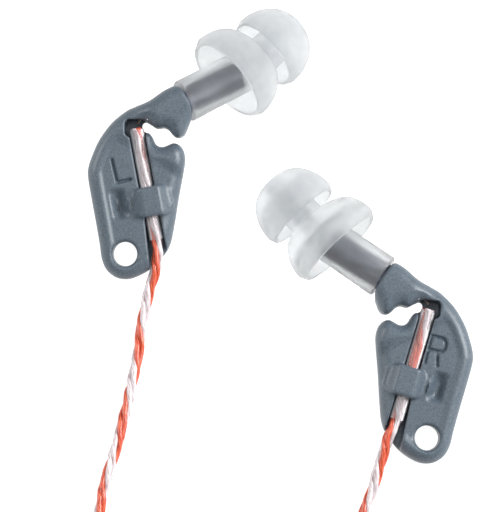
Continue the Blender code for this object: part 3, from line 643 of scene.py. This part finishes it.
def relaxed(verts, faces, rounds):
    """Vertices moved a little towards the middle of their neighbours."""
    for _ in range(rounds):
        total = np.zeros_like(verts)
        count = np.zeros(len(verts))
        for k in range(4):
            a, b = faces[:, k], faces[:, (k + 1) % 4]
            for m in range(3):
                total[:, m] += np.bincount(a, verts[b, m], len(verts))
                total[:, m] += np.bincount(b, verts[a, m], len(verts))
            count += np.bincount(a, minlength=len(verts)) + np.bincount(b, minlength=len(verts))
        verts = verts + 0.5 * (total / count[:, None] - verts)
    return verts


def make_body(side, material):
    """The moulding's one skin, paddle and neck in one piece."""
    low, high = (np.array(corner) for corner in FIELD_BOX)
    count = np.ceil((high - low) / CELL).astype(int) + 1
    axes = [low[m] + CELL * np.arange(count[m]) for m in range(3)]
    x2, y2 = np.meshgrid(axes[0], axes[1], indexing="ij")
    flat = polygon_distance(x2, y2, smooth_closed(BODY_OUTLINE))
    x, y, z = np.meshgrid(*axes, indexing="ij")
    flat = np.broadcast_to(flat[:, :, None], x.shape)
    values = body_field(side, x, y, z, flat)
    verts, faces = surface_of(values, low, CELL)
    verts = relaxed(verts, faces, 2)
    mirror = SIDES[side]["mirror"]
    verts[:, 0] *= mirror
    place = ear_matrix(side)
    matrix = np.array(place)
    verts = verts @ matrix[:3, :3].T + matrix[:3, 3]
    body = tidy_normals(mesh_object(side + "_moulding", verts, faces, [material]))
    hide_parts(side + "_paddle", side + "_neck")
    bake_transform(body)


# ---------------------------------------------------------------- tip, stem and sleeve

def tip_profile():
    sleeve = TIP_BORE + TIP_WALL
    seat = STEM_LENGTH + 0.25
    bore = [(TIP_START, TIP_BORE), (seat, TIP_BORE), (seat + 0.3, OUTLET_RADIUS),
            (TIP_END - 0.05, OUTLET_RADIUS)]
    front_crest = FRONT_RIM + 0.9
    front = arc((front_crest, 1.35), TIP_END - front_crest, FRONT_RADIUS - 1.35, 4, 90, 16)
    inner_front = FRONT_RADIUS - FLANGE_WALL - TIP_CORE
    front_hollow = arc((front_crest, TIP_CORE), 3.1, inner_front, 90, 0, 12)
    rear_crest = REAR_RIM + 0.9
    rear = arc((rear_crest, 2.8), 4.5, REAR_RADIUS - 2.8, 0, 90, 14)
    rear_hollow = arc((rear_crest, sleeve), 2.3, REAR_RADIUS - FLANGE_WALL - sleeve, 90, 0, 12)

    def rim(along, radius):
        middle = radius - FLANGE_WALL / 2
        return arc((along + 0.2, middle), -0.25, FLANGE_WALL / 2 - 0.05, 90, -90, 6)

    front_rim = rim(FRONT_RIM, FRONT_RADIUS - 0.2)
    rear_rim = rim(REAR_RIM, REAR_RADIUS - 0.35)
    waist = [(rear_crest + 4.95, TIP_CORE), (rear_crest + 4.65, TIP_CORE + 0.1)]
    root = [(TIP_START + 0.12, sleeve), (TIP_START, sleeve - 0.12)]
    return bore + front + front_rim + front_hollow + waist + rear + rear_rim + rear_hollow + root


def bent(along, aside, turn):
    """A point drawn along X, moved to where a bend of that turn so far carries it."""
    radius = (BEND_END - BEND_START) / BEND_ANGLE
    ahead = along - BEND_START - radius * turn
    centre_x = BEND_START + radius * math.sin(turn) + ahead * math.cos(turn)
    centre_y = radius * (1 - math.cos(turn)) + ahead * math.sin(turn)
    return centre_x - aside * math.sin(turn), centre_y + aside * math.cos(turn)


def bend_tip(verts):
    """Turn a tip in its own plane: its core bends between two stations, its flanges turn whole."""
    core = TIP_BORE + TIP_WALL
    out = []
    for along, aside, up in verts:
        share = min(max((along - BEND_START) / (BEND_END - BEND_START), 0.0), 1.0)
        one = bent(along, aside, share * BEND_ANGLE)
        two = bent(along, aside, BEND_ANGLE)
        outer = min(max(math.hypot(aside, up) - core, 0.0), 1.0)
        shift = REAR_SHIFT * min(max((FRONT_RIM - 0.7 - along) / 1.5, 0.0), 1.0)
        out.append((one[0] + (two[0] - one[0]) * outer,
                    one[1] + (two[1] - one[1] + shift) * outer, up))
    return out


def tip_clearness(along, out):
    """How clear the silicone is there: 1 round the stem, less in the flanges, 0 in the front core."""
    if out < TIP_BORE + TIP_WALL + 0.1:
        return 1.0 if along < REAR_RIM + 3.5 else 0.0
    return 0.5


def make_tip(side, silicone, grey):
    flip = SIDES[side]["mirror"]
    matrix = stem_matrix(side)
    verts, faces = turned(tip_profile(), 96)
    clearness = [tip_clearness(a, math.hypot(b, c)) for a, b, c in verts]
    verts = [(a, flip * b, c) for a, b, c in bend_tip(verts)]
    tip = placed(side + "_silicone_tip", (verts, faces), matrix, silicone, 60)
    tip.data.attributes.new("clearness", "FLOAT", "POINT").data.foreach_set("value", clearness)
    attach(tip, side + "_tip")
    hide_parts(side + "_ear_tip")
    stem_profile = rounded([(-STEM_SOCKET_DEPTH, STEM_RADIUS), (STEM_LENGTH, STEM_RADIUS),
                            (STEM_LENGTH, STEM_BORE), (-STEM_SOCKET_DEPTH, STEM_BORE)], 0.15)
    stem = placed(side + "_sound_stem", turned(stem_profile, 64), matrix, grey)
    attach(stem, side + "_neck")
    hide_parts(side + "_stem")


def make_sleeve(side, clear):
    mirror = SIDES[side]["mirror"]
    down = along_sleeve(1) - along_sleeve(0)
    angle = math.atan2(down.y, down.x)
    profile = rounded([(0, SLEEVE_RADIUS), (sleeve_length(), SLEEVE_RADIUS),
                       (sleeve_length(), THIN_BORE), (0, THIN_BORE)], 0.03)
    verts, faces = turned(profile, 48)
    local = Matrix.Translation((*SLEEVE_TOP, SLEEVE_HEIGHT)) @ Matrix.Rotation(angle, 4, "Z")
    verts = [local @ Vector(v) for v in verts]
    verts = [(mirror * v.x, v.y, v.z) for v in verts]
    sleeve = placed(side + "_clear_sleeve", (verts, faces), ear_matrix(side), clear)
    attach(sleeve, "cable_set")
    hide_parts(side + "_cable_sleeve")


# ---------------------------------------------------------------- cords

def smooth_route(points, step):
    """Points about step apart on one smooth curve through the route's own points."""
    ends = [points[0]] + list(points) + [points[-1]]
    dense = []
    for a, b, c, d in zip(ends, ends[1:], ends[2:], ends[3:]):
        a, b, c, d = Vector(a), Vector(b), Vector(c), Vector(d)
        pieces = max(4, round((c - b).length / 0.25))
        for k in range(pieces):
            t = k / pieces
            dense.append(0.5 * (2 * b + (c - a) * t + (2 * a - 5 * b + 4 * c - d) * t * t
                                + (3 * b - 3 * c + d - a) * t ** 3))
    dense.append(Vector(points[-1]))
    dense = np.array([tuple(p) for p in dense])
    length = np.concatenate([[0], np.cumsum(np.linalg.norm(np.diff(dense, axis=0), axis=1))])
    wanted = np.linspace(0, length[-1], max(2, round(length[-1] / step)) + 1)
    return np.stack([np.interp(wanted, length, dense[:, m]) for m in range(3)], axis=1)


def coil_points(name, mean, turns, radius, start, turning):
    """Two layers of turns that step inwards below and outwards above, in the last fifth of a turn.

    start is the angle where the cord comes in and leaves, and turning is +1 anticlockwise."""
    centre = world_point(*COIL_CENTRES[name], 0)
    outer = mean + (turns - 1) * radius
    low = COIL_FLOOR + radius
    high = low + 2 * radius
    per_turn = 24
    points = []
    total = 2 * turns - 1
    for k in range(total * per_turn + 1):
        turn, share = divmod(k / per_turn, 1)
        jog = soft_step(0.8, 1.0, share) if share else 0.0
        if turn < turns - 1:
            ring, height = outer - 2 * radius * (turn + jog), low
        elif turn == turns - 1:
            ring, height = outer - 2 * radius * turn, low + (high - low) * jog
        else:
            ring, height = outer - 2 * radius * (total - turn - jog), high
        angle = start + turning * 2 * math.pi * (turn + share)
        points.append((centre.x + ring * math.cos(angle), centre.y + ring * math.sin(angle), height))
    return points


def carried_frames(path):
    """A side direction at each point of a path that doesn't spin about it."""
    along = np.gradient(path, axis=0)
    along /= np.linalg.norm(along, axis=1)[:, None]
    side = np.cross(along[0], (0, 0, 1.0))
    side /= np.linalg.norm(side)
    sides = [side]
    for tangent in along[1:]:
        side = sides[-1] - tangent * np.dot(sides[-1], tangent)
        sides.append(side / np.linalg.norm(side))
    sides = np.array(sides)
    return sides, np.cross(along, sides)


def make_cord(name, route, radius, pitch, materials, step, snug=0.0, snug_lay=0.0, phase=0.0):
    """Four strands twisted round each other along a route, two of each colour.

    The strands swell and wander a little. Over the first snug millimetres they fill the sleeve and
    twist at snug_lay of their free rate; phase is how far round they stand where they leave it."""
    path = smooth_route(route, step)
    one, two = carried_frames(path)
    length = np.concatenate([[0], np.cumsum(np.linalg.norm(np.diff(path, axis=0), axis=1))])
    loose = STRAND_FULLNESS * radius
    full = loose + (THIN_BORE - 0.02 - loose) * soft_step(snug + 0.3, snug - 0.6, length)
    laid = (length - snug) * np.where(length > snug, 1.0, snug_lay)
    around = 9
    verts, faces, slots, fibres = [], [], [], []
    rows = len(path)
    for number in range(4):
        wander = 0.22 * np.sin(length * 0.83 + 1.9 * number) + 0.14 * np.sin(length * 1.9 + number)
        swell = 1 + 0.09 * np.sin(length * 1.13 + 2.3 * number) * np.sin(length * 0.37 + number)
        strand = full / (1 + math.sqrt(2)) * 1.16 * swell
        turn = phase + 2 * math.pi * laid / pitch + number * math.pi / 2 + wander
        offset = (full - strand)[:, None]
        centre = path + offset * (np.cos(turn)[:, None] * one + np.sin(turn)[:, None] * two)
        base = number * rows * around
        for k in range(around):
            t = 2 * math.pi * k / around
            verts.append(centre + strand[:, None] * (np.cos(t + turn)[:, None] * one
                                                     + np.sin(t + turn)[:, None] * two))
        for k in range(around):
            m = (k + 1) % around
            for i in range(rows - 1):
                a, b = base + k * rows + i, base + m * rows + i
                faces.append((a, a + 1, b + 1, b))
                v0, v1 = length[i] + 37 * number, length[i + 1] + 37 * number
                u0, u1 = k / around, (k + 1) / around
                fibres += [u0, v0, u0, v1, u1, v1, u1, v0]
        slots += [number // 2] * (around * (rows - 1))
        for end in (0, rows - 1):
            faces.append(tuple(base + k * rows + end for k in range(around)))
            fibres += [0.5, 0.0] * around
            slots.append(number // 2)
    verts = np.concatenate(verts) * MM
    made = mesh_object(name, verts, faces, materials)
    made.data.polygons.foreach_set("material_index", slots)
    layer = made.data.uv_layers.new(name="fibres")
    layer.data.foreach_set("uv", fibres)
    tidy_normals(made)
    return made, path * MM


def ear_point(side, place, height):
    mirror = SIDES[side]["mirror"]
    return (ear_matrix(side) @ Vector((mirror * place[0], place[1], height))) / MM


def side_route(side, fall, join):
    top = ear_point(side, along_sleeve(-0.2), SLEEVE_HEIGHT)
    middle = ear_point(side, along_sleeve(sleeve_length() / 2), SLEEVE_HEIGHT)
    bottom = ear_point(side, along_sleeve(sleeve_length() + 0.3), SLEEVE_HEIGHT)
    start, turning = (math.pi, 1) if side == "left" else (0.0, -1)
    coil = coil_points(side, COIL_MEAN_RADIUS, COIL_TURNS, CABLE_RADIUS, start, turning)
    return ([top, middle, bottom] + [world_point(*p) for p in fall] + coil
            + [world_point(*p) for p in join])


def make_cords(materials):
    for side, fall, join in (("left", LEFT_FALL, LEFT_JOIN), ("right", RIGHT_FALL, RIGHT_JOIN)):
        cord, path = make_cord(side + "_twisted_cable", side_route(side, fall, join),
                               CABLE_RADIUS, SIDE_PITCH, materials, SIDE_STEP, sleeve_length(),
                               SIDES[side]["sleeve_lay"], STRAND_START)
        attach(cord, "cable_set")
        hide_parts(side + "_cable", side + "_coil", side + "_cable_lower")
    coil = coil_points("main", MAIN_MEAN_RADIUS, MAIN_TURNS, MAIN_RADIUS, math.pi, 1)
    route = [world_point(*p) for p in MAIN_FALL] + coil + [world_point(*p) for p in MAIN_JOIN]
    cord, path = make_cord("main_twisted_cable", route, MAIN_RADIUS, MAIN_PITCH, materials, MAIN_STEP)
    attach(cord, "cable_set")
    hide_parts("main_cable", "main_coil", "main_cable_lower")


# ---------------------------------------------------------------- ties, splitter, slider and plug

def make_tie(name, mean, turns, radius, heading, material):
    """A soft strap wrapped round a coil: a closed band that follows its section with round corners."""
    half = turns * radius + 0.05
    inner = math.sqrt((mean - half) ** 2 - TIE_HALF_WIDTH ** 2) - 0.02
    high = COIL_FLOOR + 4 * radius + 0.05
    middle = TIE_THICK / 2
    loop = rounded([(inner - middle, middle), (mean + half + middle, middle),
                    (mean + half + middle, high + middle), (inner - middle, high + middle)], 0.7, 5)
    verts, faces = [], []
    count = len(loop)
    section = rounded([(-TIE_HALF_WIDTH, -middle), (TIE_HALF_WIDTH, -middle),
                       (TIE_HALF_WIDTH, middle), (-TIE_HALF_WIDTH, middle)], 0.12, 2)
    for i in range(count):
        before, here, after = (Vector(loop[(i + k) % count]) for k in (-1, 0, 1))
        run = (after - before).normalized()
        out = Vector((run.y, -run.x))
        for across, up in section:
            spot = here + out * up
            verts.append((across, spot.x, spot.y))
    ring = len(section)
    for i in range(count):
        j = (i + 1) % count
        for k in range(ring):
            m = (k + 1) % ring
            faces.append((i * ring + k, i * ring + m, j * ring + m, j * ring + k))
    place = Matrix.Translation(world_point(*COIL_CENTRES[name], 0))
    matrix = Matrix.Scale(MM, 4) @ place @ Matrix.Rotation(math.radians(heading), 4, "Z")
    tie = placed(name + "_soft_tie", (verts, faces), matrix, material)
    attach(tie, "cable_set")
    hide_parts(name + "_coil_tie")
    return tie


def oval_bar(stations, steps=48):
    verts, faces = [], []
    for along, wide, high in stations:
        for k in range(steps):
            t = 2 * math.pi * k / steps
            c, s = math.cos(t), math.sin(t)
            verts.append((along, wide * math.copysign(abs(c) ** 0.7, c),
                          high * math.copysign(abs(s) ** 0.7, s)))
    rows = len(stations)
    for i in range(rows - 1):
        for k in range(steps):
            m = (k + 1) % steps
            faces.append((i * steps + k, i * steps + m, (i + 1) * steps + m, (i + 1) * steps + k))
    faces.append(tuple(range(steps)))
    faces.append(tuple((rows - 1) * steps + k for k in range(steps)))
    return verts, faces


def bored(made, bores, matrix):
    """Holes cut along X through a finished piece, given as (start, end, aside, radius)."""
    for number, (start, end, aside, radius) in enumerate(bores):
        verts, faces = turned([(start, radius), (end, radius)], 32, closed=False)
        verts = [(a, b + aside, c) for a, b, c in verts]
        tool = placed("%s_bore_%d" % (made.name, number), (verts, faces), matrix, made.data.materials[0])
        step = made.modifiers.new("bore", "BOOLEAN")
        step.object = tool
        step.solver = "EXACT"
        depsgraph = bpy.context.evaluated_depsgraph_get()
        mesh = bpy.data.meshes.new_from_object(made.evaluated_get(depsgraph))
        made.modifiers.clear()
        made.data = mesh
        bpy.data.objects.remove(tool)
    made.data.shade_smooth()
    made.data.set_sharp_from_angle(angle=math.radians(40))
    return made


def make_junction(black):
    matrix = floor_matrix(PAIR_X, SPLITTER_BOTTOM, PAIR_HEIGHT)
    length = SPLITTER_TOP - SPLITTER_BOTTOM
    ribs = [(along + d, 1.75 + 0.03 * along + (0.0 if inset else -0.22),
             1.6 + (0.0 if inset else -0.2))
            for along in (1.2, 2.2, 3.2) for d, inset in ((0, 1), (0.2, 0), (0.5, 0), (0.7, 1))]
    stations = [(0, 1.3, 1.25), (0.15, 1.5, 1.45), (0.6, 1.7, 1.6)] + ribs + [
        (5, 1.95, 1.65), (7, 2.25, 1.65), (9, 2.6, 1.65), (length - 0.9, 2.7, 1.64),
        (length - 0.3, 2.62, 1.55), (length, 2.35, 1.35)]
    splitter = placed("splitter_moulding", oval_bar(stations), matrix, black)
    bore = CABLE_RADIUS + 0.12
    bores = [(length - 5, length + 1, -PAIR_SPACING / 2, bore),
             (length - 5, length + 1, PAIR_SPACING / 2, bore),
             (-1, length - 4.5, 0, MAIN_RADIUS + 0.12)]
    bored(splitter, bores, matrix)
    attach(splitter, "cable_set")
    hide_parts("splitter")
    matrix = floor_matrix(PAIR_X, SLIDER_TOP - SLIDER_LENGTH, PAIR_HEIGHT)
    waves = [(0.7 + 5.6 * k / 14, 2.75 - 0.12 * (1 - math.cos(2 * math.pi * k / 3.5)),
              1.6 - 0.08 * (1 - math.cos(2 * math.pi * k / 3.5))) for k in range(15)]
    stations = [(0, 2.35, 1.3), (0.25, 2.6, 1.5)] + waves + [
        (SLIDER_LENGTH - 0.25, 2.6, 1.5), (SLIDER_LENGTH, 2.35, 1.3)]
    slider = placed("slider_bead", oval_bar(stations), matrix, black)
    bored(slider, [(-1, SLIDER_LENGTH + 1, -PAIR_SPACING / 2, bore),
                   (-1, SLIDER_LENGTH + 1, PAIR_SPACING / 2, bore)], matrix)
    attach(slider, "slider")
    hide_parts("cable_slider")
    return splitter, slider


def make_plug(black, gold):
    matrix = floor_matrix(PLUG_X, BOOT_END, PLUG_HEIGHT)
    bore = MAIN_RADIUS + 0.12
    shank = 26.0
    boot = [(0, bore), (0, 1.35), (0.15, 1.5)]
    for k in range(5):
        start = 1.2 + 1.5 * k
        wide = 1.5 + 0.1 * start
        boot += [(start, wide), (start + 0.15, wide - 0.3), (start + 0.6, wide - 0.28),
                 (start + 0.75, wide + 0.07)]
    boot += [(9.0, 2.4), (9.0, 2.6), (10.5, 2.6), (10.5, bore)]
    knurl = []
    for k in range(9):
        knurl += [(13.0 + k, 3.3), (13.25 + k, 3.3), (13.4 + k, 3.12), (13.85 + k, 3.12)]
    shell = [(10.8, 2.05), (10.8, 3.05), (11.1, 3.25), (11.3, 3.3)] + knurl + [
        (22.2, 3.3), (24.9, 3.3), (25.3, 3.2), (25.6, 2.95), (25.6, 2.05)]
    profiles = {
        "plug_boot": (boot, black, "black_moulding"),
        "plug_shell": (shell, black, "black_moulding"),
        "plug_sleeve_contact": ([(shank - 9, 1.2), (shank - 9, 1.75), (shank + 6.9, 1.75),
                                 (shank + 7, 1.68), (shank + 7, 1.2)], gold, "gold"),
        "plug_insulator_rear": ([(shank + 7.06, 0.75), (shank + 7.06, 1.7), (shank + 7.64, 1.7),
                                 (shank + 7.64, 0.75)], black, "black_moulding"),
        "plug_ring_contact": ([(shank + 7.7, 0.75), (shank + 7.7, 1.68), (shank + 7.78, 1.75),
                               (shank + 9.32, 1.75), (shank + 9.4, 1.68), (shank + 9.4, 0.75)],
                              gold, "gold"),
        "plug_insulator_front": ([(shank + 9.46, 0.75), (shank + 9.46, 1.7), (shank + 10.0, 1.7),
                                  (shank + 10.0, 0.75)], black, "black_moulding"),
    }
    pieces = []
    for node, (profile, material, slot) in profiles.items():
        piece = placed(node + "_turned", turned(profile, 64), matrix, material, 30)
        pieces.append((piece, node, slot))
    nose = arc((shank + 12.6, 0.0), 1.4, 1.75, 90, 8, 8)
    tip = [(shank - 7.0, 0.6), (shank + 10.06, 0.6), (shank + 10.06, 1.68), (shank + 10.15, 1.7),
           (shank + 10.7, 1.5), (shank + 11.2, 1.3), (shank + 11.6, 1.35), (shank + 12.2, 1.65)] + nose
    pieces.append((placed("plug_tip_contact_turned", turned(tip, 64, closed=False), matrix, gold, 30),
                   "plug_tip_contact", "gold"))
    for piece, node, slot in pieces:
        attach(piece, "cable_set")
        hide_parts(node)
    return [piece for piece, _, _ in pieces]


# ---------------------------------------------------------------- stage

CAMERA_DISTANCE = 300.0
VIEW_HEIGHT = 65.64
VIEW_MIDDLE = (15.2, -0.25, 3.0)  # in the left earpiece's own millimetres
SOFTBOXES = {  # place in metres, size in metres and power in watts
    "top_softbox": ((-0.06, 0.02, 0.50), 0.25, 0.45),
    "left_softbox": ((-0.42, 0.10, 0.20), 0.20, 0.95),
    "right_softbox": ((0.38, 0.05, 0.28), 0.20, 2.85),
}


def make_camera():
    """Square onto the left paddle's face, as far off as a long lens would be."""
    middle = ear_matrix("left") @ Vector(VIEW_MIDDLE)
    tilt = Matrix.Rotation(math.radians(SIDES["left"]["tilt"]), 4, "X")
    data = bpy.data.cameras.new("camera")
    data.sensor_width = 36.0
    data.lens = data.sensor_width * CAMERA_DISTANCE / VIEW_HEIGHT
    data.clip_start = 0.01
    data.clip_end = 10.0
    data.dof.use_dof = False
    camera = bpy.data.objects.new("camera", data)
    camera.matrix_world = Matrix.Translation(middle) @ tilt @ Matrix.Translation((0, 0, CAMERA_DISTANCE * MM))
    bpy.context.collection.objects.link(camera)
    bpy.context.scene.camera = camera


def area_light(name, place, size, power):
    """A square soft light that looks at the object's middle."""
    data = bpy.data.lights.new(name, "AREA")
    data.shape = "SQUARE"
    data.size = size
    data.energy = power
    light = bpy.data.objects.new(name, data)
    light.location = place
    light.rotation_euler = (-Vector(place)).to_track_quat("-Z", "Y").to_euler()
    bpy.context.collection.objects.link(light)


def make_stage():
    """A back-lit white table, so that the holes and the slots read white, among three soft lights."""
    half = 1.5
    verts = [(-half, -half, -0.00003), (half, -half, -0.00003), (half, half, -0.00003),
             (-half, half, -0.00003)]
    white = new_material("floor_white", (0.35, 0.35, 0.35), 0.9)
    shader = white.node_tree.nodes["Principled BSDF"]
    shader.inputs["Emission Color"].default_value = (1.0, 1.0, 1.0, 1.0)
    shader.inputs["Emission Strength"].default_value = 0.92
    floor = mesh_object("floor", verts, [(0, 1, 2, 3)], [white], smooth=False)
    world = bpy.data.worlds.new("studio")
    bpy.context.scene.world = world
    world.use_nodes = True
    background = world.node_tree.nodes["Background"]
    background.inputs["Color"].default_value = (1.0, 1.0, 1.0, 1.0)
    background.inputs["Strength"].default_value = 0.44
    for name, (place, size, power) in SOFTBOXES.items():
        area_light(name, place, size, power)
    bpy.context.scene.view_settings.view_transform = "Standard"


def finish_inner_nodes():
    """Procedural finishes for the driver's own parts, which keep their CAD shapes."""
    finishes = {
        "steel": plain_detail("drawn_steel", (0.55, 0.55, 0.57), 0.3, 1.0),
        "magnet": plain_detail("magnet_grey", (0.40, 0.40, 0.42), 0.4, 1.0),
        "copper": plain_detail("copper_winding", (0.72, 0.35, 0.18), 0.35, 1.0),
        "film": plain_detail("amber_film", (0.70, 0.60, 0.38), 0.4),
        "board": plain_detail("green_board", (0.05, 0.25, 0.12), 0.5),
    }
    enamel = plain_detail("dark_lead_enamel", (0.05, 0.035, 0.03), 0.5)
    for part in frame["record"]["subparts"]:
        made = enamel if "_lead_" in part["node"] else finishes.get(part["material_slot"])
        if made:
            node = frame["nodes"][part["node"]]
            node.data.materials.clear()
            node.data.materials.append(made)


def main():
    make_camera()
    make_stage()
    black = plain_detail("black_moulding", (0.022, 0.022, 0.025), 0.5)
    gold = plain_detail("gold_plate", (0.93, 0.68, 0.28), 0.22, 1.0)
    splitter, slider = make_junction(black)
    plug_pieces = make_plug(black, gold)
    ties = {"left": make_tie("left", COIL_MEAN_RADIUS, COIL_TURNS, CABLE_RADIUS, 180, black),
            "right": make_tie("right", COIL_MEAN_RADIUS, COIL_TURNS, CABLE_RADIUS, 180, black),
            "main": make_tie("main", MAIN_MEAN_RADIUS, MAIN_TURNS, MAIN_RADIUS, 0, black)}
    orange = strand_material("orange_strand", (0.22, 0.012, 0.010), (0.60, 0.062, 0.020),
                             (0.80, 0.20, 0.09))
    white = strand_material("white_strand", (0.38, 0.24, 0.24), (0.64, 0.57, 0.59),
                            (0.86, 0.83, 0.84))
    make_cords([orange, white])
    grey = body_material()
    silicone = silicone_material()
    stem = stem_material()
    clear = clear_material()
    for side in SIDES:
        make_body(side, grey)
        make_tip(side, silicone, stem)
        make_sleeve(side, clear)
    finish_inner_nodes()


main()
